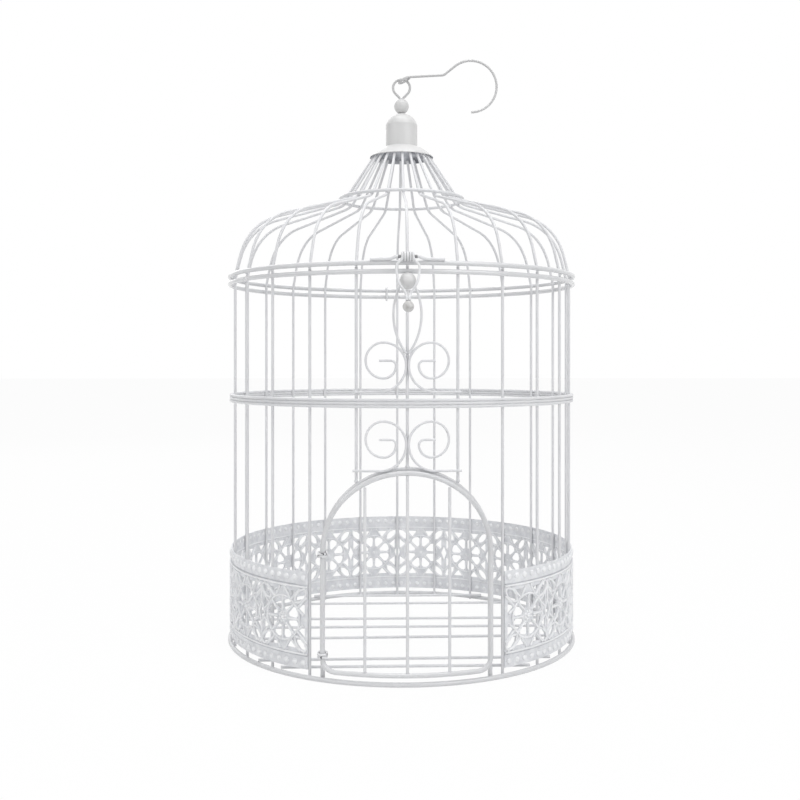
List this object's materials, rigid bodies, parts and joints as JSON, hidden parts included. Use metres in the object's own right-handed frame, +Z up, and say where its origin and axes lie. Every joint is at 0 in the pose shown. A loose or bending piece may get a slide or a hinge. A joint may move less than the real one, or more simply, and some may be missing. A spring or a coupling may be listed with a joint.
{
  "type": "wedding card box",
  "caption": "Round white wire birdcage card holder with a domed hinged lid, arched front door, wire loop latch, pierced filigree band and a hanging hook on the finial.",
  "frame": {"origin": "on the cage's vertical axis, at the level of the floor it stands on", "axes": "+Z up along the cage's axis, -Y towards the door and latch, +X to the right as seen from the front"},
  "size_m": [0.26, 0.2779, 0.4351],
  "materials": {
    "painted_wire": "satin white paint over iron wire",
    "painted_sheet": "satin white paint over stamped sheet",
    "painted_turning": "gloss white paint over turned or spun metal"
  },
  "bodies": {
    "cage": {"base_ring": "painted_wire", "floor_wires": "painted_wire", "wall_wires_left": "painted_wire", "wall_wires_right": "painted_wire", "wall_wires_back": "painted_wire", "arch_wires": "painted_wire", "door_arch": "painted_wire", "filigree_band": "painted_sheet", "mid_band_lower": "painted_wire", "mid_band_middle": "painted_wire", "mid_band_upper": "painted_wire", "wall_ring": "painted_wire", "upper_scroll_left": "painted_wire", "upper_scroll_right": "painted_wire", "lower_scroll_left": "painted_wire", "lower_scroll_right": "painted_wire", "almond_ornament": "painted_wire", "latch_keeper": "painted_turning", "lid_hinge_loop_left": "painted_wire", "lid_hinge_loop_right": "painted_wire", "door_hinge_loop_upper": "painted_wire", "door_hinge_loop_lower": "painted_wire"},
    "lid": {"lid_ring": "painted_wire", "dome_ribs_front": "painted_wire", "dome_ribs_left": "painted_wire", "dome_ribs_back": "painted_wire", "dome_ribs_right": "painted_wire", "neck_ring": "painted_wire", "finial_cap": "painted_turning", "finial_bulb": "painted_turning", "finial_ball": "painted_turning", "finial_eye": "painted_wire", "latch_bail": "painted_wire"},
    "latch": {"latch_loop": "painted_wire", "latch_pull_ball": "painted_turning"},
    "door": {"door_frame": "painted_wire", "door_bar_left": "painted_wire", "door_bar_middle": "painted_wire", "door_bar_right": "painted_wire"},
    "hook": {"hanging_hook": "painted_wire"}
  },
  "joints": [
    {"name": "lid_hinge", "type": "hinge", "parent": "cage", "child": "lid", "pos_m": [0, 0.12806, 0.2691], "axis": [-1, 0, 0], "range_deg": [0, 150]},
    {"name": "latch_swing", "type": "hinge", "parent": "lid", "child": "latch", "pos_m": [0, -0.1322, 0.2725], "axis": [-1, 0, 0], "range_deg": [0, 150]},
    {"name": "door_hinge", "type": "hinge", "parent": "cage", "child": "door", "pos_m": [-0.0543, -0.11668, 0.05], "axis": [0, 0, -1], "range_deg": [0, 170]},
    {"name": "hook_swing", "type": "hinge", "parent": "lid", "child": "hook", "pos_m": [0.00219, 0, 0.42044], "axis": [0, -1, 0], "range_deg": [0, 85]}
  ]
}
